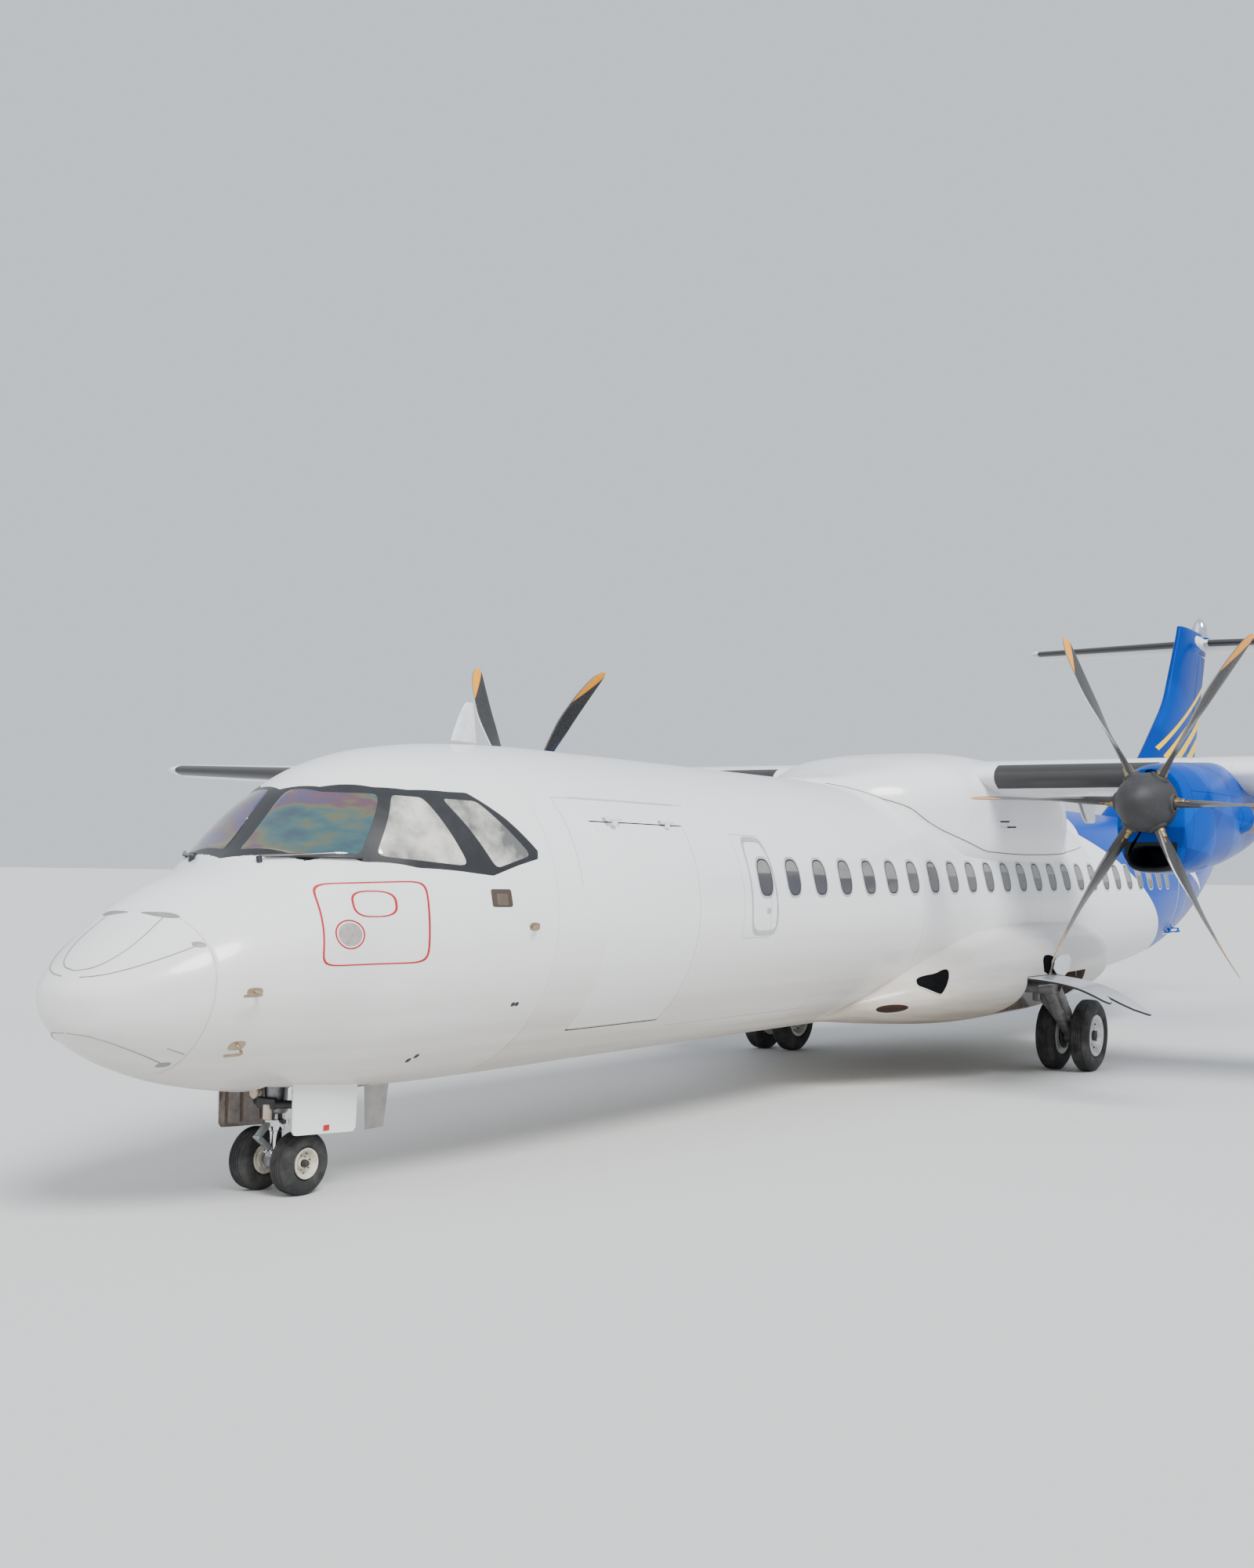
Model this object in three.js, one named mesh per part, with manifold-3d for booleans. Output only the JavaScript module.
// High-wing twin-turboprop regional airliner, parked on its landing gear.
// Millimetres, +X to the aircraft's left (port), +Y aft, +Z up. Inside this file y is the
// station: the distance aft of the nose tip. The exported group moves the origin to the
// ground, under the middle of the aircraft's length.
import * as THREE from 'three';
import { mergeVertices } from 'three/addons/utils/BufferGeometryUtils.js';
import Module from 'manifold-3d';

const wasm = await Module();
wasm.setup();

// Driving dimensions of the whole aircraft
const LENGTH = 27166;
const HALF_SPAN = 13525;
const BODY = { halfWidth: 1432.5, middle: 2000, top: 3355, bottom: 672 };
const SEAM = 0.3;
const CLEARANCE = 6;

// Wheels
const NOSE_GEAR_STATION = 1840;
const MAIN_GEAR_STATION = 12610;
const MAIN_GEAR_X = 2050;
const NOSE_TYRE = { radius: 225, width: 180, rim: 110, offset: 200, axle: 38 };
const MAIN_TYRE = { radius: 432, width: 236, rim: 235, offset: 215, axle: 62 };
const WHEEL_SEGMENTS = 24;
const AXLE_GAP = 0.8;
// A tyre stands on one of its flats, so its axle is this far above the ground.
const axleHeight = ({ radius }) => radius * Math.cos(Math.PI / WHEEL_SEGMENTS);
const MAIN_AXLE_HEIGHT = axleHeight(MAIN_TYRE);

// Propellers and nacelles
const PROPELLER_X = 3950;
const PROPELLER_STATION = 9450;
const PROPELLER_HEIGHT = 3090;
const PROPELLER_RADIUS = 1965;
const BLADES = 6;
const HUB_RADIUS = 195;
const SPINNER_RADIUS = 318;
const SPINNER_FRONT = 8990;
const SPINNER_BACK = 9600;

// Colours
const white = new THREE.MeshStandardMaterial({ color: 0xf2f3f4, roughness: 0.25, metalness: 0.0 });
const blue = new THREE.MeshStandardMaterial({ color: 0x0f62c8, roughness: 0.3, metalness: 0.0 });
const glass = new THREE.MeshStandardMaterial({ color: 0x101820, roughness: 0.08, metalness: 0.0 });
const darkGrey = new THREE.MeshStandardMaterial({ color: 0x2a2b2d, roughness: 0.7, metalness: 0.1 });
const bladeBlack = new THREE.MeshStandardMaterial({ color: 0x1b1c1e, roughness: 0.4, metalness: 0.2 });
const steel = new THREE.MeshStandardMaterial({ color: 0x8b8d8f, roughness: 0.4, metalness: 0.9 });
const rubber = new THREE.MeshStandardMaterial({ color: 0x161617, roughness: 0.85, metalness: 0.0 });
const hubCream = new THREE.MeshStandardMaterial({ color: 0xd9d3bd, roughness: 0.5, metalness: 0.1 });
const castMetal = new THREE.MeshStandardMaterial({ color: 0x6a6c6e, roughness: 0.6, metalness: 0.8 });

// Solids: joins and cuts run on closed bodies, whose vertices are shared

function solidOf(geometry) {
  const bare = geometry.index ? geometry.toNonIndexed() : geometry.clone();
  for (const name of Object.keys(bare.attributes)) {
    if (name !== 'position') bare.deleteAttribute(name);
  }
  const merged = mergeVertices(bare, 1e-3);
  const mesh = new wasm.Mesh({
    numProp: 3,
    vertProperties: new Float32Array(merged.attributes.position.array),
    triVerts: new Uint32Array(merged.index.array),
  });
  return new wasm.Manifold(mesh);
}

function geometryOf(solid) {
  const mesh = solid.getMesh();
  const geometry = new THREE.BufferGeometry();
  geometry.setAttribute('position', new THREE.BufferAttribute(new Float32Array(mesh.vertProperties), 3));
  geometry.setIndex(new THREE.BufferAttribute(new Uint32Array(mesh.triVerts), 1));
  return geometry;
}

// Joins rings of equal length, in order, into one closed body with a fan over each end.
function loft(rings) {
  const count = rings[0].length;
  const positions = rings.flat(2);
  const index = [];
  for (let r = 0; r + 1 < rings.length; r++) {
    for (let i = 0; i < count; i++) {
      const next = (i + 1) % count;
      const [a, b] = [r * count + i, r * count + next];
      const [c, d] = [a + count, b + count];
      index.push(a, b, d, a, d, c);
    }
  }
  const last = (rings.length - 1) * count;
  for (let i = 1; i + 1 < count; i++) {
    index.push(0, i + 1, i, last, last + i, last + i + 1);
  }
  const at = (k) => new THREE.Vector3(...positions.slice(3 * k, 3 * k + 3));
  let volume = 0;
  for (let t = 0; t < index.length; t += 3) {
    volume += at(index[t]).dot(at(index[t + 1]).cross(at(index[t + 2])));
  }
  if (volume < 0) index.reverse();
  const geometry = new THREE.BufferGeometry();
  geometry.setAttribute('position', new THREE.BufferAttribute(new Float32Array(positions), 3));
  geometry.setIndex(index);
  return solidOf(geometry);
}

function box([x0, x1], [y0, y1], [z0, z1]) {
  const geometry = new THREE.BoxGeometry(x1 - x0, y1 - y0, z1 - z0);
  geometry.translate((x0 + x1) / 2, (y0 + y1) / 2, (z0 + z1) / 2);
  return solidOf(geometry);
}

// A round bar from one point to another, tapered if its two radii differ.
function rod(from, to, startRadius, endRadius = startRadius, sides = 16) {
  const start = new THREE.Vector3(...from);
  const along = new THREE.Vector3(...to).sub(start);
  const geometry = new THREE.CylinderGeometry(endRadius, startRadius, along.length(), sides);
  geometry.translate(0, along.length() / 2, 0);
  geometry.applyQuaternion(new THREE.Quaternion().setFromUnitVectors(
    new THREE.Vector3(0, 1, 0), along.normalize()));
  geometry.translate(...from);
  return solidOf(geometry);
}

// The point at a distance from one point towards another.
function along(from, to, distance) {
  const start = new THREE.Vector3(...from);
  const direction = new THREE.Vector3(...to).sub(start).normalize();
  return start.addScaledVector(direction, distance).toArray();
}

// Turns a profile of [radius, distance along the axis] pairs about an axis through a point.
function turned(profile, axis, centre, segments, start = 0) {
  const geometry = new THREE.LatheGeometry(profile.map(([r, a]) => new THREE.Vector2(r, a)), segments, start);
  if (axis === 'x') geometry.rotateZ(-Math.PI / 2);
  if (axis === 'z') geometry.rotateX(Math.PI / 2);
  geometry.translate(...centre);
  const solid = solidOf(geometry);
  if (solid.volume() > 0) return solid;
  const bare = geometry.toNonIndexed();
  flipFaces(bare);
  return solidOf(bare);
}

// The outline of [a, b] pairs on the plane across one axis, carried from one depth to another.
function plate(axis, outline, [from, to]) {
  const place = {
    x: ([a, b], depth) => [depth, a, b],
    y: ([a, b], depth) => [a, depth, b],
    z: ([a, b], depth) => [a, b, depth],
  }[axis];
  const shape = new THREE.Shape(outline.map(([a, b]) => new THREE.Vector2(a, b)));
  const geometry = new THREE.ExtrudeGeometry(shape, { depth: to - from, bevelEnabled: false });
  const position = geometry.attributes.position;
  for (let i = 0; i < position.count; i++) {
    const pair = [position.getX(i), position.getY(i)];
    position.setXYZ(i, ...place(pair, from + position.getZ(i)));
  }
  if (axis === 'y') flipFaces(geometry);
  return solidOf(geometry);
}

function flipFaces(geometry) {
  const position = geometry.attributes.position.array;
  for (let t = 0; t < position.length; t += 9) {
    const second = position.slice(t + 3, t + 6);
    position.copyWithin(t + 3, t + 6, t + 9);
    position.set(second, t + 6);
  }
}

// The same solid on the other side of the aircraft.
function mirrored(solid) {
  const geometry = geometryOf(solid).toNonIndexed();
  geometry.scale(-1, 1, 1);
  flipFaces(geometry);
  return solidOf(geometry);
}

const join = (solids) => solids.reduce((whole, next) => whole.add(next));
const cut = (solid, tools) => tools.reduce((rest, tool) => rest.subtract(tool), solid);

// The biggest of the bodies that a cut has left, without the slivers beside it.
function largest(solid) {
  const bodies = solid.decompose();
  return bodies.reduce((best, next) => (next.volume() > best.volume() ? next : best));
}

// Reads one column of a table at a station, on a curve that never overshoots its rows.
function columnAt(table, column, station) {
  const last = table.length - 1;
  if (station <= table[0][0]) return table[0][column];
  if (station >= table[last][0]) return table[last][column];
  const slope = (i) => (table[i + 1][column] - table[i][column]) / (table[i + 1][0] - table[i][0]);
  const tangent = (i) => {
    if (i === 0 || i === last) return slope(Math.min(i, last - 1));
    const [before, after] = [slope(i - 1), slope(i)];
    return before * after <= 0 ? 0 : 2 * before * after / (before + after);
  };
  const i = table.findIndex((row, k) => k < last && station <= table[k + 1][0]);
  const width = table[i + 1][0] - table[i][0];
  const t = (station - table[i][0]) / width;
  const rise = table[i + 1][column] - table[i][column];
  const ease = t * t * (3 - 2 * t);
  return table[i][column] + rise * ease
    + width * (t * (1 - t) * (1 - t) * tangent(i) - t * t * (1 - t) * tangent(i + 1));
}

// Fuselage: at each station an upper and a lower half ellipse meet at the widest height
// station, half width, widest height, top, bottom
const FUSELAGE = [
  [0, 50, 1455, 1485, 1410],
  [15, 185, 1465, 1540, 1315],
  [60, 322, 1478, 1612, 1215],
  [200, 478, 1513, 1758, 1104],
  [450, 660, 1568, 1950, 981],
  [800, 828, 1628, 2185, 862],
  [1270, 955, 1690, 2395, 770],
  [1730, 985, 1745, 2860, 717],
  [2110, 1095, 1800, 3090, 690],
  [2600, 1215, 1870, 3227, 677],
  [3300, 1335, 1940, 3312, 668],
  [4200, 1415, 1985, 3350, 668],
  [5000, BODY.halfWidth, BODY.middle, BODY.top, BODY.bottom],
  [15000, BODY.halfWidth, BODY.middle, BODY.top, BODY.bottom],
  [16400, 1428, 2005, 3355, 725],
  [18000, 1395, 2045, 3352, 850],
  [20000, 1220, 2215, 3346, 990],
  [22000, 935, 2440, 3330, 1320],
  [24000, 600, 2690, 3290, 1870],
  [25400, 345, 2890, 3235, 2400],
  [26250, 150, 3020, 3190, 2780],
];
const BODY_SIDES = 32;
const BODY_STATIONS = [0, 15, 60, 130, 240, 390, 570, 800, 1060, 1270, 1500, 1730, 1960, 2250, 2600, 3300, 4200,
  5000, 15000, 15400, 16400, 17200, 18000, 20000, 21800, 24000, 25400, 26250];

function bodyRing(station, grow) {
  const read = (column) => columnAt(FUSELAGE, column, station);
  const [halfWidth, middle, top, bottom] = [1, 2, 3, 4].map(read);
  return Array.from({ length: BODY_SIDES }, (_, i) => {
    const angle = 2 * Math.PI * i / BODY_SIDES;
    const rise = Math.sin(angle) > 0 ? top - middle : middle - bottom;
    return [(halfWidth + grow) * Math.cos(angle), station, middle + (rise + grow) * Math.sin(angle)];
  });
}

// The body's outer shape from one station to another, grown outwards or, if negative, inwards.
function bodyBetween(from, to, grow = 0) {
  const inner = BODY_STATIONS.filter((station) => station > from + 1 && station < to - 1);
  return loft([from, ...inner, to].map((station) => bodyRing(station, grow)));
}

function bodyHalfWidthAt(station, height, grow = 0) {
  const [halfWidth, middle, top, bottom] = [1, 2, 3, 4].map((c) => columnAt(FUSELAGE, c, station));
  const reach = (height > middle ? top - middle : middle - bottom) + grow;
  return (halfWidth + grow) * Math.sqrt(Math.max(0, 1 - ((height - middle) / reach) ** 2));
}

// Aerofoils: half thickness over the chord, for a thickness of one
const CHORD_STEPS = 7;
const halfThickness = (u) => 5 * (0.2969 * Math.sqrt(u) - 0.126 * u - 0.3516 * u ** 2
  + 0.2843 * u ** 3 - 0.1015 * u ** 4);
const chordSteps = Array.from({ length: CHORD_STEPS + 1 },
  (_, i) => (1 - Math.cos(Math.PI * i / CHORD_STEPS)) / 2);

// Pairs of [distance aft of the leading edge, offset from the chord], once around.
function aerofoil(chord, thickness, grow) {
  const side = (sign) => (u) => [u * (chord + 2 * grow) - grow,
    sign * (halfThickness(u) * thickness + grow)];
  const upper = chordSteps.map(side(1));
  const lower = chordSteps.slice(grow ? 0 : 1).reverse().map(side(-1));
  return [...upper, ...lower];
}

// Wing: span position, leading edge station, chord, thickness, height of the chord
const WING_KINK = 4900;
const WING_HEIGHT = 3500;
const WING = [
  [0, 11400, 2570, 450, WING_HEIGHT],
  [WING_KINK, 11400, 2570, 450, WING_HEIGHT],
  [13250, 12130, 1620, 214, 3865],
  [13460, 12260, 1450, 160, 3874],
  [HALF_SPAN, 12480, 1150, 80, 3877],
];

function wingRing(x, grow) {
  const above = WING.findIndex((row) => row[0] >= x);
  const [low, high] = [WING[Math.max(0, above - 1)], WING[above]];
  const share = high[0] === low[0] ? 0 : (x - low[0]) / (high[0] - low[0]);
  const [edge, chord, thickness, height] = [1, 2, 3, 4].map((c) => low[c] + share * (high[c] - low[c]));
  return aerofoil(chord, thickness, grow).map(([aft, up]) => [x, edge + aft, height + up]);
}

function wingBetween(from, to, grow = 0) {
  const inner = WING.map((row) => row[0]).filter((x) => x > from + 1 && x < to - 1);
  return loft([from, ...inner, to].map((x) => wingRing(x, grow)));
}

const wingHeightAt = (x) => WING_HEIGHT + Math.max(0, x - WING_KINK) * (3865 - WING_HEIGHT) / (13250 - WING_KINK);
const wingHalfThicknessAt = (x, station) => {
  const ring = wingRing(x, 0).slice(0, CHORD_STEPS + 1);
  const i = ring.findIndex((point) => point[1] >= station);
  const share = (station - ring[i - 1][1]) / (ring[i][1] - ring[i - 1][1]);
  return ring[i - 1][2] + share * (ring[i][2] - ring[i - 1][2]) - wingHeightAt(x);
};

const parts = [];
const add = (name, solid, material) => parts.push({ name, solid, material });

function addPair(name, solid, material) {
  add(`${name}_left`, solid, material);
  add(`${name}_right`, mirrored(solid), material);
}

// Nacelles: superellipse rings about the propeller's x
// station, half width, top, bottom
const NACELLE = [
  [9640, 350, 3440, 2395],
  [9800, 400, 3490, 2370],
  [10300, 485, 3545, 2370],
  [11000, 490, 3590, 2420],
  [11900, 440, 3640, 2530],
  [12900, 380, 3600, 2720],
  [13800, 300, 3520, 2960],
  [14400, 180, 3490, 3200],
  [14650, 80, 3465, 3360],
];
const NACELLE_SIDES = 22;
const NACELLE_SQUARENESS = 2.5;

function superRing(station, centreX, halfWidth, top, bottom, squareness, sides) {
  const middle = (top + bottom) / 2;
  const power = (value) => Math.sign(value) * Math.abs(value) ** (2 / squareness);
  return Array.from({ length: sides }, (_, i) => {
    const angle = 2 * Math.PI * i / sides;
    return [centreX + halfWidth * power(Math.cos(angle)), station,
      middle + (top - middle) * power(Math.sin(angle))];
  });
}

const ENGINE = { from: 10250, to: 11800, halfWidth: 290, low: 2700, high: 3180 };
const INTAKE = { halfWidth: 210, low: 2440, high: 2640, to: 10260 };

function nacelle() {
  const shell = loft(NACELLE.map(([station, halfWidth, top, bottom]) => superRing(
    station, PROPELLER_X, halfWidth, top, bottom, NACELLE_SQUARENESS, NACELLE_SIDES)));
  const engineBay = box(
    [PROPELLER_X - ENGINE.halfWidth - SEAM, PROPELLER_X + ENGINE.halfWidth + SEAM],
    [ENGINE.from - SEAM, ENGINE.to + SEAM], [ENGINE.low - SEAM, ENGINE.high + SEAM]);
  const mouth = plate('y', [
    [PROPELLER_X - INTAKE.halfWidth, INTAKE.high], [PROPELLER_X - INTAKE.halfWidth + 60, INTAKE.low + 60],
    [PROPELLER_X - 120, INTAKE.low], [PROPELLER_X + 120, INTAKE.low],
    [PROPELLER_X + INTAKE.halfWidth - 60, INTAKE.low + 60], [PROPELLER_X + INTAKE.halfWidth, INTAKE.high],
    [PROPELLER_X + 120, INTAKE.high - 30], [PROPELLER_X - 120, INTAKE.high - 30],
  ], [NACELLE[0][0] - 20, INTAKE.to + 140]);
  const throat = box([PROPELLER_X - 180, PROPELLER_X + 180], [INTAKE.to - 10, INTAKE.to + 130],
    [INTAKE.low + 60, ENGINE.low + 40]);
  const wing = wingBetween(3300, 4900, SEAM);
  return largest(cut(shell, [engineBay, mouth, throat, wing, exhaust(SEAM)]));
}

// The exhaust leaves the outboard side of the nacelle, turned a little outwards.
const EXHAUST = { start: [PROPELLER_X + 290, 11250, 3000], end: [PROPELLER_X + 590, 11950, 3000], radius: 158 };

function exhaust(grow = 0) {
  const { start, end, radius } = EXHAUST;
  return rod(along(start, end, -100 * grow), along(end, start, -100 * grow), radius + grow, radius + grow, 16);
}

function exhaustPipe() {
  const { start, end, radius } = EXHAUST;
  const bore = rod(along(end, start, 500), along(end, start, -40), radius - 16, radius - 16, 16);
  const inner = box([3000, PROPELLER_X + ENGINE.halfWidth + SEAM * 2], [11000, 12400], [2800, 3200]);
  return cut(exhaust(), [bore, inner]);
}

// Propeller: scimitar blades at rest in feather
// radius, chord, thickness, blade angle in degrees, sweep aft of the blade's axis
const BLADE = [
  [150, 110, 100, 118, 0],
  [400, 150, 66, 116, -5],
  [600, 205, 48, 108, -20],
  [850, 262, 34, 97, -38],
  [1200, 272, 24, 85, -34],
  [1500, 248, 18, 81, 8],
  [1730, 205, 14, 78, 66],
  [1880, 150, 11, 76, 122],
  [PROPELLER_RADIUS, 60, 7, 75, 172],
];

function bladeRing([radius, chord, thickness, angle, sweep]) {
  const turn = THREE.MathUtils.degToRad(angle);
  const outline = [[-0.5, 0], [-0.3, 0.45], [0.1, 0.45], [0.5, 0], [0.1, -0.45], [-0.3, -0.45]];
  return outline.map(([u, v]) => {
    const [along, across] = [u * chord, v * thickness];
    return [along * Math.cos(turn) + across * Math.sin(turn),
      along * Math.sin(turn) - across * Math.cos(turn) + sweep, radius];
  });
}

function propeller(startAngle) {
  const blade = geometryOf(loft(BLADE.map(bladeRing)));
  const hub = turned([[0, -150], [140, -150], [HUB_RADIUS, -90], [HUB_RADIUS, 90], [140, 150], [90, 150],
    [90, 189.7], [0, 189.7]], 'y', [0, 0, 0], 20);
  const blades = Array.from({ length: BLADES }, (_, i) => {
    const turnedBlade = blade.clone();
    turnedBlade.rotateY(THREE.MathUtils.degToRad(startAngle + 360 * i / BLADES));
    return solidOf(turnedBlade);
  });
  return join([hub, ...blades]);
}

function spinner() {
  const depth = SPINNER_BACK - SPINNER_FRONT;
  const profile = [[0, 0], [75, 20], [165, 95], [245, 225], [298, 380], [SPINNER_RADIUS, 520],
    [SPINNER_RADIUS, depth], [HUB_RADIUS + SEAM, depth], [HUB_RADIUS + SEAM, 250], [0, 200]];
  return turned(profile, 'y', [0, SPINNER_FRONT - PROPELLER_STATION, 0], 20);
}

function placed(solid, x, y, z) {
  const geometry = geometryOf(solid);
  geometry.translate(x, y, z);
  return solidOf(geometry);
}

// Leaves a round window in the spinner for each blade root.
function spinnerWithBladeHoles(startAngle) {
  const holes = Array.from({ length: BLADES }, (_, i) => {
    const angle = THREE.MathUtils.degToRad(startAngle + 360 * i / BLADES);
    return rod([150 * Math.sin(angle), 0, 150 * Math.cos(angle)],
      [400 * Math.sin(angle), 0, 400 * Math.cos(angle)], 92, 92, 8);
  });
  return cut(spinner(), holes);
}

// Landing gear wheels: tyres on a pair of rims with one axle
function tyre({ radius, width, rim }, x, station) {
  const half = width / 2;
  const profile = [[rim, -half * 0.62], [rim + 12, -half * 0.86], [radius * 0.78, -half],
    [radius * 0.95, -half * 0.8], [radius, -half * 0.42], [radius, half * 0.42], [radius * 0.95, half * 0.8],
    [radius * 0.78, half], [rim + 12, half * 0.86], [rim, half * 0.62], [rim, -half * 0.62]];
  const centre = [x, station, axleHeight({ radius })];
  return turned(profile, 'x', centre, WHEEL_SEGMENTS, Math.PI / WHEEL_SEGMENTS);
}

function rimProfile({ rim, width, axle }, side) {
  const half = width / 2;
  const edge = rim - SEAM;
  const outline = [[0, -half * 0.5], [edge * 0.62, -half * 0.5], [edge * 0.8, -half * 0.9], [edge, -half * 0.62 - 6],
    [edge, half * 0.62 + 6], [edge * 0.84, half * 0.9], [edge * 0.7, half * 0.3], [axle * 1.6, half * 0.25],
    [axle * 1.4, half * 0.85], [0, half * 0.9]];
  return outline.map(([r, a]) => [r, a * side]);
}

function wheelPair(size, centreX, station) {
  const height = axleHeight(size);
  const rims = [-1, 1].map((side) => turned(rimProfile(size, side), 'x',
    [centreX + side * size.offset, station, height], WHEEL_SEGMENTS, Math.PI / WHEEL_SEGMENTS));
  return join([...rims, axleRod(size, centreX, station, size.offset, 0)]);
}

// The axle from its middle out to a distance on each side, or, with a gap, its bore.
function axleRod(size, centreX, station, reach, gap) {
  const height = axleHeight(size);
  return rod([centreX - reach, station, height], [centreX + reach, station, height],
    size.axle + gap, size.axle + gap, WHEEL_SEGMENTS);
}

// Fuselage sections: name, from, to, material
const SECTIONS = [
  ['radome', 0, 570, white],
  ['nose_section', 570, 3300, white],
  ['forward_fuselage', 3300, 7800, white],
  ['centre_fuselage', 7800, 15400, white],
  ['rear_fuselage', 15400, 21800, blue],
  ['tail_cone', 21800, 26250, blue],
];

// Doors: station from, to, height from, to, hinge side
const DOOR_DEPTH = 60;
const DOOR_FREE_GAP = 14;
const DOOR_RELIEF_GAP = 20;
const DOORS = {
  cargo_door: { from: 3870, to: 5140, low: 1060, high: 2710 },
  entry_door: { from: 19860, to: 20620, low: 1500, high: 3080 },
};

function doorBlock({ from, to, low, high }, grow, inset) {
  const block = box([0, 1800], [from - grow, to + grow], [low - grow, high + grow]);
  return block.subtract(bodyBetween(from - 400, to + 400, -inset));
}

function hingePoint(name) {
  const door = DOORS[name];
  const height = name === 'cargo_door' ? door.high : door.low;
  const reach = Math.max(bodyHalfWidthAt(door.from, height), bodyHalfWidthAt(door.to, height));
  return { x: reach + 24, z: height + (name === 'cargo_door' ? 26 : -26) };
}

// The space that a door needs: its block with more room at the free edge, and a cone about
// the hinge line for the inner corner that swings into the body.
function doorRecess(name) {
  const door = DOORS[name];
  const inset = DOOR_DEPTH + CLEARANCE;
  const hinge = hingePoint(name);
  const hangs = name === 'cargo_door';
  const edge = hangs ? door.high : door.low;
  const free = hangs ? { ...door, low: door.low - DOOR_FREE_GAP + CLEARANCE }
    : { ...door, high: door.high + DOOR_FREE_GAP - CLEARANCE };
  const ends = [door.from - CLEARANCE, door.to + CLEARANCE];
  const radii = [door.from, door.to].map((station) => DOOR_RELIEF_GAP
    + Math.hypot(hinge.x - bodyHalfWidthAt(station, edge, -DOOR_DEPTH), hinge.z - edge));
  const cone = rod([hinge.x, ends[0], hinge.z], [hinge.x, ends[1], hinge.z], ...radii, 32);
  const limits = box([0, 1800], ends, hangs ? [0, edge + CLEARANCE] : [edge - CLEARANCE, 4000]);
  return join([doorBlock(free, CLEARANCE, inset), cone.intersect(limits)]);
}

// Hinge knuckles: a barrel on the door between two barrels on the body, along the hinge line.
function knuckles(name) {
  const door = DOORS[name];
  const { x, z } = hingePoint(name);
  const middleOut = name === 'cargo_door' ? -1 : 1;
  const onDoor = [];
  const onBody = [];
  for (const share of [0.2, 0.8]) {
    const y = door.from + share * (door.to - door.from);
    const skin = bodyHalfWidthAt(y, z + middleOut * 60);
    onDoor.push(rod([x, y - 40, z], [x, y + 40, z], 14, 14, 12));
    onDoor.push(box([skin - 45, x], [y - 30, y + 30], [z + middleOut * 45 - 12, z + middleOut * 45 + 12]
      .sort((a, b) => a - b)));
    onDoor.push(box([x - 12, x + 12], [y - 30, y + 30], [z, z + middleOut * 57].sort((a, b) => a - b)));
    for (const side of [-1, 1]) {
      const near = y + side * (40 + SEAM);
      const far = y + side * 90;
      onBody.push(rod([x, near, z], [x, far, z], 14, 14, 12));
      const inner = bodyHalfWidthAt(y, z - middleOut * 20) - 60;
      onBody.push(box([inner, x + 4], [near, far].sort((a, b) => a - b),
        [z - middleOut * 24, z - middleOut * 4].sort((a, b) => a - b)));
    }
  }
  return { onDoor: join(onDoor), onBody: join(onBody) };
}

const cargoHinge = knuckles('cargo_door');
const entryHinge = knuckles('entry_door');

// Nose gear bay and leg
const NOSE_BAY = { halfWidth: 330, from: 1380, to: 2420, roof: 1300 };
const NOSE_DOOR = { inner: 345, outer: 375, low: 425 };

// Belly fairing with the main gear housings
// station, half width, top, bottom
const BELLY = [
  [8600, 420, 860, 720],
  [9000, 860, 1060, 720],
  [9500, 1340, 1300, 690],
  [10300, 1780, 1590, 620],
  [11300, 2005, 1796, 560],
  [12600, 2015, 1874, 565],
  [13500, 1930, 1897, 600],
  [14300, 1820, 1905, 640],
  [15000, 1700, 1890, 700],
  [15550, 1200, 1700, 780],
];
const BELLY_SIDES = 30;
const MAIN_BAY = { inner: 1560, outer: 2700, from: 11250, to: 13400, roof: 1180 };

function bellyFairing() {
  const outer = loft(BELLY.map(([station, halfWidth, top, bottom]) => superRing(
    station, 0, halfWidth, top, bottom, 2.4, BELLY_SIDES)));
  const bays = [-1, 1].map((side) => box([MAIN_BAY.inner * side, MAIN_BAY.outer * side].sort((a, b) => a - b),
    [MAIN_BAY.from, MAIN_BAY.to], [0, MAIN_BAY.roof]));
  return largest(cut(outer, [bodyBetween(5000, 16400, SEAM), ...bays]));
}

// Wing-to-body fairing
// station, half width, top
const WING_FAIRING = [
  [9300, 240, 3385],
  [9900, 600, 3450],
  [10350, 1000, 3560],
  [11100, 1370, 3740],
  [12000, 1430, 3830],
  [13600, 1430, 3800],
  [14600, 1240, 3640],
  [15300, 600, 3460],
];

function wingFairing() {
  const outer = loft(WING_FAIRING.map(([station, halfWidth, top]) => superRing(
    station, 0, halfWidth, top, 2200, 3.2, 28)));
  return largest(cut(outer, [bodyBetween(5000, 16400, SEAM), wingCentreTool]));
}

// Trailing-edge surfaces of the wing: flaps turn about pivots below the wing
const FLAP_FRONT = 13290;
const FLAP_PIVOT = { station: 13420, drop: 430 };
const FLAPS = [
  { name: 'flap_inner', from: 1620, to: 3400, brackets: [2000, 3020] },
  { name: 'flap_outer', from: 4760, to: 9480, brackets: [5700, 7150, 8700] },
];
const AILERON = { from: 9560, to: 13080, hinge: 13340, swing: 14 };

const wingCentreTool = join([wingBetween(-1, 4300, SEAM), mirrored(wingBetween(-1, 4300, SEAM))]);

function flapZone({ from, to }, grow) {
  return box([from - grow, to + grow], [FLAP_FRONT - grow - 4, 14400], [3000, 4300]);
}

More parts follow.
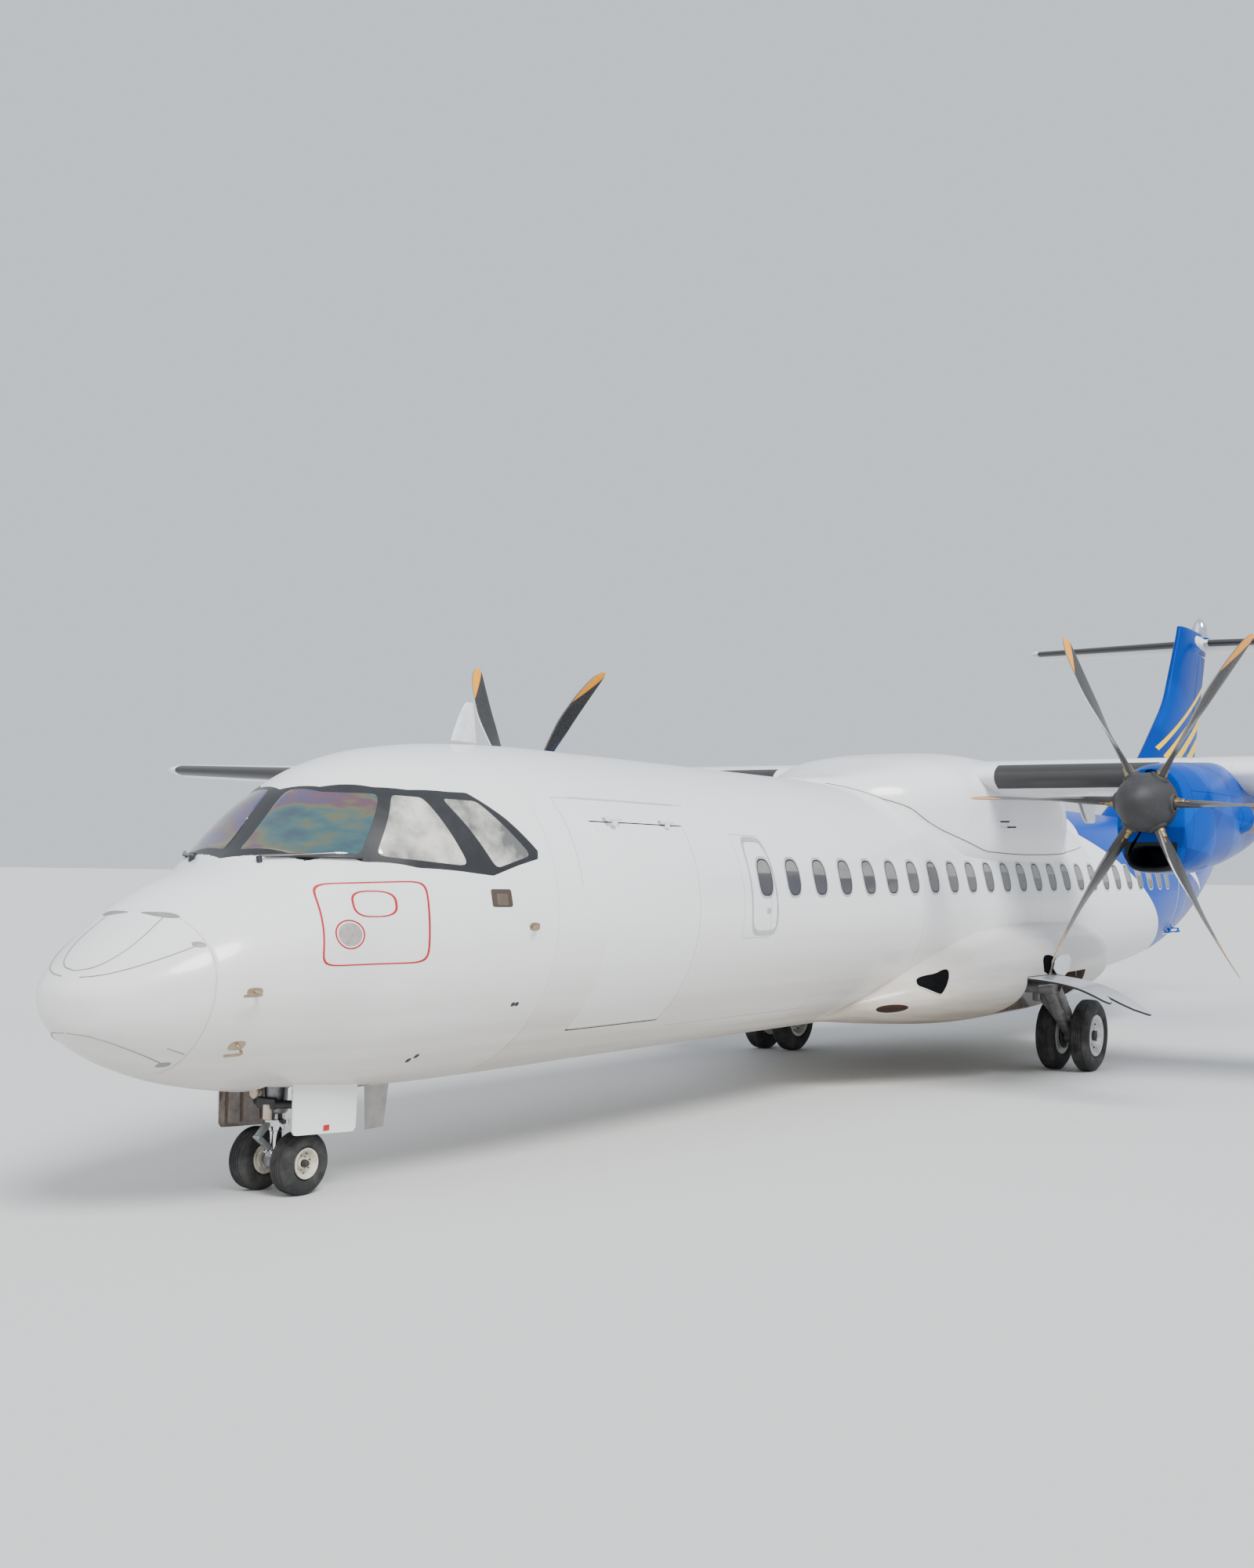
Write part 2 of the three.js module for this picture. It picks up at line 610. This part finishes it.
// One hinge bracket: a fairing below the wing and an arm below the flap meet at the pivot.
function flapBracket(x) {
  const height = wingHeightAt(x) - FLAP_PIVOT.drop;
  const wingSide = plate('x', [[12350, height + 210], [13180, height + 165], [FLAP_FRONT - 12, height + 200],
    [FLAP_FRONT - 12, height + 330], [12350, height + 330]], [x - 34, x + 34]);
  const cheeks = [-1, 1].map((side) => plate('x', [[12900, height + 200], [13230, height - 60],
    [FLAP_PIVOT.station + 50, height - 50], [FLAP_PIVOT.station + 50, height + 50], [FLAP_FRONT - 12, height + 210],
    [FLAP_FRONT - 12, height + 330], [12900, height + 330]],
  side < 0 ? [x - 34, x - 17] : [x + 17, x + 34]));
  const pins = [-1, 1].map((side) => rod([x + side * 17.5, FLAP_PIVOT.station, height],
    [x + side * 10.6, FLAP_PIVOT.station, height], 14, 14, 12));
  const arm = plate('x', [[FLAP_PIVOT.station - 45, height - 20], [FLAP_PIVOT.station + 20, height - 45],
    [FLAP_PIVOT.station + 130, height + 120], [13720, height + 400], [FLAP_PIVOT.station + 20, height + 400],
    [FLAP_PIVOT.station - 40, height + 60]], [x - 10, x + 10]);
  return { wing: join([wingSide, ...cheeks, ...pins]), arm };
}

// A surface hinged inside its own nose radius, and the space that it needs. The bulge is how
// far the real thickness exceeds the straight line between its ends.
function hingedEdge(start, end, startRadius, endRadius, swing, bulge = 1) {
  const swell = bulge / Math.cos(THREE.MathUtils.degToRad(swing));
  return {
    nose: rod(start, end, startRadius, endRadius, 20),
    cove: rod(start, end, startRadius * swell + CLEARANCE + 2, endRadius * swell + CLEARANCE + 2, 20),
  };
}

function aileronParts() {
  const { from, to, hinge, swing } = AILERON;
  const [start, end] = [from, to].map((x) => [x, hinge, wingHeightAt(x)]);
  const [r0, r1] = [from, to].map((x) => wingHalfThicknessAt(x, hinge) * 0.93);
  const outside = [along(start, end, -60), along(end, start, -60)];
  const { cove } = hingedEdge(...outside, r0, r1, swing);
  const { nose } = hingedEdge(start, end, r0, r1, swing);
  const slot = box([from - CLEARANCE, to + CLEARANCE], [12000, 15000], [3000, 4500]);
  const aft = box([from - CLEARANCE, to + CLEARANCE], [hinge, 15000], [3000, 4500]);
  const tool = join([aft, cove.intersect(slot)]);
  const body = wingBetween(9000, 13300).intersect(box([from, to], [hinge, 15000], [3000, 4500]));
  const limits = box([from, to], [12000, 15000], [3000, 4500]);
  const pins = [rod(along(start, end, -CLEARANCE + 1), along(start, end, 40), 12, 12, 10),
    rod(along(end, start, -CLEARANCE + 1), along(end, start, 40), 12, 12, 10)];
  return { tool, surface: join([body, nose.intersect(limits), ...pins]) };
}

// Fin: height, leading edge, trailing edge, thickness
const FIN = [
  [3150, 19300, 24460, 520],
  [3900, 20900, 24730, 440],
  [4650, 21950, 25000, 380],
  [5550, 23080, 25330, 300],
  [7080, 23980, 25880, 215],
];
const RUDDER = { low: 3560, high: 6660, hingeLow: 23760, hingeHigh: 25060, swing: 27 };
const finColumn = (z, column) => columnAtStraight(FIN, column, z);

function columnAtStraight(table, column, at) {
  const above = Math.max(1, table.findIndex((row) => row[0] >= at));
  const [low, high] = [table[above - 1], table[above]];
  return low[column] + (high[column] - low[column]) * (at - low[0]) / (high[0] - low[0]);
}

function finLoft() {
  return loft(FIN.map(([z, edge, trailing, thickness]) => aerofoil(trailing - edge, thickness, 0)
    .map(([aft, side]) => [side, edge + aft, z])));
}

function finHalfThickness(z, station) {
  const [edge, trailing, thickness] = [1, 2, 3].map((c) => finColumn(z, c));
  return halfThickness((station - edge) / (trailing - edge)) * thickness;
}

function rudderParts() {
  const { low, high, hingeLow, hingeHigh, swing } = RUDDER;
  const [start, end] = [[0, hingeLow, low], [0, hingeHigh, high]];
  const [r0, r1] = [start, end].map(([, y, z]) => finHalfThickness(z, y) * 0.93);
  const bulges = FIN.map(([z]) => (z - low) / (high - low)).filter((t) => t > 0 && t < 1).map((t) => (
    finHalfThickness(low + t * (high - low), hingeLow + t * (hingeHigh - hingeLow)) / (r0 + t * (r1 - r0))));
  const { nose, cove } = hingedEdge(along(start, end, -120), along(end, start, -120), r0, r1, swing,
    Math.max(...bulges));
  const behind = (z0, z1) => plate('x', [[hingeLow + (z0 - low) * (hingeHigh - hingeLow) / (high - low), z0],
    [27500, z0], [27500, z1], [hingeLow + (z1 - low) * (hingeHigh - hingeLow) / (high - low), z1]], [-600, 600]);
  const [foot, head] = [low - 32, high + 36];
  const tool = join([behind(foot, head), cove.intersect(box([-600, 600], [20000, 27500], [foot, head]))]);
  const slab = box([-600, 600], [20000, 27500], [low, high]);
  const pins = [rod(along(start, end, -30), along(start, end, 60), 10, 10, 10),
    rod(along(end, start, -34), along(end, start, 60), 10, 10, 10)];
  const body = join([finLoft().intersect(behind(low, high)), nose.intersect(slab)]);
  return { tool, surface: join([body, ...pins]) };
}

// Tailplane: span position, leading edge, trailing edge, thickness
const TAIL_HEIGHT = 6905;
const TAILPLANE = [
  [0, 25080, LENGTH, 225],
  [3480, 25470, 26880, 150],
  [3600, 25570, 26840, 110],
  [3655, 25760, 26780, 50],
];
const ELEVATOR = { from: 260, to: 3380, hinge: 26400, swing: 23 };

function tailplaneHalf(from, to) {
  const inner = TAILPLANE.map((row) => row[0]).filter((x) => x > from + 1 && x < to - 1);
  return loft([from, ...inner, to].map((x) => {
    const [edge, trailing, thickness] = [1, 2, 3].map((c) => columnAtStraight(TAILPLANE, c, x));
    return aerofoil(trailing - edge, thickness, 0).map(([aft, up]) => [x, edge + aft, TAIL_HEIGHT + up]);
  }));
}

function elevatorParts() {
  const { from, to, hinge, swing } = ELEVATOR;
  const [start, end] = [from, to].map((x) => [x, hinge, TAIL_HEIGHT]);
  const [r0, r1] = [from, to].map((x) => {
    const [edge, trailing, thickness] = [1, 2, 3].map((c) => columnAtStraight(TAILPLANE, c, x));
    return halfThickness((hinge - edge) / (trailing - edge)) * thickness * 0.93;
  });
  const { cove } = hingedEdge(along(start, end, -60), along(end, start, -60), r0, r1, swing);
  const { nose } = hingedEdge(start, end, r0, r1, swing);
  const heights = [TAIL_HEIGHT - 600, TAIL_HEIGHT + 600];
  const slot = box([from - CLEARANCE, to + CLEARANCE], [25000, 27500], heights);
  const aft = box([from - CLEARANCE, to + CLEARANCE], [hinge, 27500], heights);
  const body = tailplaneHalf(from, to).intersect(box([from - 1, to + 1], [hinge, 27500], heights));
  const pins = [rod([from - CLEARANCE + SEAM, hinge, TAIL_HEIGHT], [from + 40, hinge, TAIL_HEIGHT], 12, 12, 10),
    rod([to - 40, hinge, TAIL_HEIGHT], [to + CLEARANCE - SEAM, hinge, TAIL_HEIGHT], 12, 12, 10)];
  return { tool: join([aft, cove.intersect(slot)]), surface: join([body, nose, ...pins]) };
}

// Cockpit glazing: a band in the nose section's skin, as deep as the panes
const GLASS_DEPTH = 45;
const GLASS_SIDE = [[1180, 2360], [1780, 2300], [2660, 2290], [3120, 2460], [2790, 2860], [1800, 2900], [1640, 2850]];

// Moves each corner of a closed outline outwards, so that its sides move by the same distance.
function grownOutline(outline, distance) {
  const clockwise = THREE.ShapeUtils.isClockWise(outline.map(([a, b]) => new THREE.Vector2(a, b)));
  const outward = clockwise ? -1 : 1;
  return outline.map(([a, b], i) => {
    const corner = new THREE.Vector2(a, b);
    const before = new THREE.Vector2(...outline.at(i - 1));
    const after = new THREE.Vector2(...outline[(i + 1) % outline.length]);
    const [into, out] = [corner.clone().sub(before).normalize(), after.sub(corner).normalize()];
    const [first, second] = [into, out].map((v) => new THREE.Vector2(v.y * outward, -v.x * outward));
    const bisector = first.clone().add(second).normalize();
    return corner.addScaledVector(bisector, distance / bisector.dot(first)).toArray();
  });
}

function glazingBlock(grow) {
  const block = plate('x', grownOutline(GLASS_SIDE, grow), [8 - grow, 1500]);
  return block.subtract(bodyBetween(800, 3600, -GLASS_DEPTH - grow));
}

// Fuselage and what is set into it
const whole = bodyBetween(0, 26250);
const fuselageCuts = [
  wingCentreTool,
  box([-NOSE_BAY.halfWidth, NOSE_BAY.halfWidth], [NOSE_BAY.from, NOSE_BAY.to], [0, NOSE_BAY.roof]),
  ...[1, -1].map((side) => box([MAIN_BAY.inner * side, MAIN_BAY.outer * side].sort((a, b) => a - b),
    [MAIN_BAY.from, MAIN_BAY.to], [0, MAIN_BAY.roof])),
];

for (const [name, from, to, material] of SECTIONS) {
  const ends = [from === 0 ? 0 : from + SEAM / 2, to === 26250 ? to : to - SEAM / 2];
  let section = cut(bodyBetween(...ends), fuselageCuts);
  if (name === 'nose_section') {
    section = cut(section, [glazingBlock(SEAM), mirrored(glazingBlock(SEAM))]);
  }
  if (name === 'forward_fuselage') {
    section = cut(section, [doorRecess('cargo_door')]).add(cargoHinge.onBody);
  }
  if (name === 'rear_fuselage') {
    section = cut(section, [doorRecess('entry_door')]).add(entryHinge.onBody);
  }
  add(name, section, material);
}

add('cockpit_glazing_left', whole.intersect(glazingBlock(0)), glass);
add('cockpit_glazing_right', mirrored(whole.intersect(glazingBlock(0))), glass);
add('cargo_door', whole.intersect(doorBlock(DOORS.cargo_door, 0, DOOR_DEPTH)).add(cargoHinge.onDoor), white);
add('entry_door', whole.intersect(doorBlock(DOORS.entry_door, 0, DOOR_DEPTH)).add(entryHinge.onDoor), blue);
add('belly_fairing', bellyFairing(), white);
add('wing_fairing', wingFairing(), white);

// Wing: centre section, outer panels, flaps and ailerons
const aileron = aileronParts();
const innerBrackets = FLAPS[0].brackets.map(flapBracket);
const outerBrackets = FLAPS[1].brackets.map(flapBracket);
const centreHalf = cut(wingBetween(-1, 4300), [flapZone(FLAPS[0], CLEARANCE)]);
const centreWithBrackets = join([centreHalf, ...innerBrackets.map((b) => b.wing)]);
add('wing_center', join([centreWithBrackets, mirrored(centreWithBrackets)]), white);
const outerPanel = cut(wingBetween(4300 + SEAM, HALF_SPAN), [flapZone(FLAPS[1], CLEARANCE), aileron.tool]);
addPair('wing', join([outerPanel, ...outerBrackets.map((b) => b.wing)]), white);
FLAPS.forEach((flap, i) => {
  const arms = (i === 0 ? innerBrackets : outerBrackets).map((b) => b.arm);
  const body = wingBetween(flap.from, flap.to).intersect(box([flap.from, flap.to], [FLAP_FRONT, 14400], [3000, 4300]));
  addPair(flap.name, join([body, ...arms]), white);
});
addPair('aileron', aileron.surface, white);

// Nacelles, engines, exhausts and propellers
addPair('nacelle', nacelle(), blue);
addPair('engine', box([PROPELLER_X - ENGINE.halfWidth, PROPELLER_X + ENGINE.halfWidth],
  [ENGINE.from, ENGINE.to], [ENGINE.low, ENGINE.high]), castMetal);
addPair('exhaust', exhaustPipe(), steel);
for (const [label, side, startAngle] of [['left', 1, 32], ['right', -1, 34]]) {
  const centre = [side * PROPELLER_X, PROPELLER_STATION, PROPELLER_HEIGHT];
  add(`propeller_${label}`, placed(propeller(startAngle), ...centre), bladeBlack);
  add(`spinner_${label}`, placed(spinnerWithBladeHoles(startAngle), ...centre), darkGrey);
}

// Tail
const rudder = rudderParts();
const elevator = elevatorParts();
const pod = turned([[0, 0], [90, 60], [165, 300], [190, 700], [180, 1100], [110, 1450], [0, 1600]], 'y',
  [0, 25000, 7220], 20);
const tailplaneRight = cut(tailplaneHalf(0, 3655), [elevator.tool]);
const spine = box([-150, 150], [24400, 26900], [TAIL_HEIGHT - 130, TAIL_HEIGHT + 130]);
const tailplane = join([tailplaneRight, mirrored(tailplaneRight), pod, spine]);
add('tailplane', tailplane, white);
add('fin', largest(cut(finLoft(), [rudder.tool, bodyBetween(18000, 26250, SEAM), join([
  tailplaneHalf(0, 3655), mirrored(tailplaneHalf(0, 3655)),
  box([-150 - SEAM, 150 + SEAM], [24400 - SEAM, 26900], [TAIL_HEIGHT - 130 - SEAM, 8000])])])), blue);
add('rudder', rudder.surface, blue);
addPair('elevator', elevator.surface, white);

// Nose gear
const noseLeg = join([
  rod([0, NOSE_GEAR_STATION - 30, 560], [0, NOSE_GEAR_STATION - 30, NOSE_BAY.roof - SEAM], 78, 78, 20),
  rod([0, NOSE_GEAR_STATION - 30, 720], [0, NOSE_BAY.to - SEAM - 30, 1180], 34, 34, 12),
  box([-NOSE_BAY.halfWidth + SEAM, NOSE_BAY.halfWidth - SEAM], [NOSE_GEAR_STATION - 80, NOSE_GEAR_STATION + 20],
    [1150, 1230]),
]);
const noseStrut = cut(join([
  rod([0, NOSE_GEAR_STATION - 30, 300], [0, NOSE_GEAR_STATION - 30, 560 - SEAM], 52, 52, 20),
  rod([0, NOSE_GEAR_STATION - 30, 470], [0, NOSE_GEAR_STATION - 30, 520], 90, 90, 20),
  box([-70, 70], [NOSE_GEAR_STATION - 75, NOSE_GEAR_STATION + 75], [165, 320]),
]), [axleRod(NOSE_TYRE, 0, NOSE_GEAR_STATION, 90, AXLE_GAP)]);
add('nose_leg', noseLeg, steel);
add('nose_strut', noseStrut, steel);
add('nose_rims', wheelPair(NOSE_TYRE, 0, NOSE_GEAR_STATION), hubCream);
for (const [label, side] of [['left', 1], ['right', -1]]) {
  add(`nose_tyre_${label}`, tyre(NOSE_TYRE, side * NOSE_TYRE.offset, NOSE_GEAR_STATION), rubber);
}
const noseDoor = box([NOSE_DOOR.inner, NOSE_DOOR.outer], [1600, 2220], [NOSE_DOOR.low, 850]);
addPair('nose_gear_door', cut(noseDoor, [bodyBetween(800, 3300, SEAM * 2)]), white);

// Main gear
const mainLeg = cut(join([
  rod([MAIN_BAY.inner + SEAM, 11780, 1050], [2130, 11780, 1050], 85, 85, 14),
  rod([MAIN_GEAR_X, 11780, 1050], [MAIN_GEAR_X, 12150, 700], 72, 72, 12),
  rod([MAIN_GEAR_X, 12060, 760], [MAIN_GEAR_X, MAIN_GEAR_STATION, MAIN_AXLE_HEIGHT], 70, 74, 12),
  rod([MAIN_GEAR_X, 12100, 700], [1760, 12300, MAIN_BAY.roof - SEAM - 38], 52, 60, 12),
  rod([MAIN_GEAR_X - 74, MAIN_GEAR_STATION, MAIN_AXLE_HEIGHT],
    [MAIN_GEAR_X + 74, MAIN_GEAR_STATION, MAIN_AXLE_HEIGHT], 105, 105, 16),
]), [axleRod(MAIN_TYRE, MAIN_GEAR_X, MAIN_GEAR_STATION, 120, AXLE_GAP)]);
addPair('main_leg', mainLeg, steel);
addPair('main_rims', wheelPair(MAIN_TYRE, MAIN_GEAR_X, MAIN_GEAR_STATION), hubCream);
for (const [label, shift] of [['inner', -1], ['outer', 1]]) {
  addPair(`main_tyre_${label}`, tyre(MAIN_TYRE, MAIN_GEAR_X + shift * MAIN_TYRE.offset, MAIN_GEAR_STATION), rubber);
}

// Main gear doors: curved panels that stand out from the housings and sweep aft to a narrow tip
// distance outboard, height of the lower face, front edge, rear edge
const DOOR_SKIN = 28;
const doorTop = MAIN_BAY.roof - SEAM - DOOR_SKIN;
const MAIN_DOOR = [
  [1900, doorTop, 11270, 11960],
  [2010, doorTop, 11280, 11980],
  [2240, 1127, 11350, 12060],
  [2500, 1065, 11470, 12200],
  [2720, 975, 11530, 12310],
  [2840, 895, 11640, 12370],
  [2870, 872, 11960, 12385],
  [3060, 715, 12330, 12550],
];
const mainDoor = loft(MAIN_DOOR.map(([x, z, front, rear]) => [[x, front, z], [x, rear, z],
  [x, rear, z + DOOR_SKIN], [x, front, z + DOOR_SKIN]]));
addPair('main_gear_door', mainDoor, white);

// Antennas
add('roof_antenna', cut(plate('x', [[3560, 3300], [3880, 3300], [3830, 3690], [3740, 3690]], [-14, 14]),
  [bodyBetween(2600, 5000, SEAM)]), white);
add('belly_antenna', cut(plate('x', [[2700, 330], [2900, 330], [2960, 760], [2680, 760]], [-14, 14]),
  [bodyBetween(1730, 4200, SEAM)]), white);

const aircraft = new THREE.Group();
for (const { name, solid, material } of parts) {
  const mesh = new THREE.Mesh(geometryOf(solid), material);
  mesh.name = name;
  mesh.position.y = -LENGTH / 2;
  aircraft.add(mesh);
}

export default aircraft;
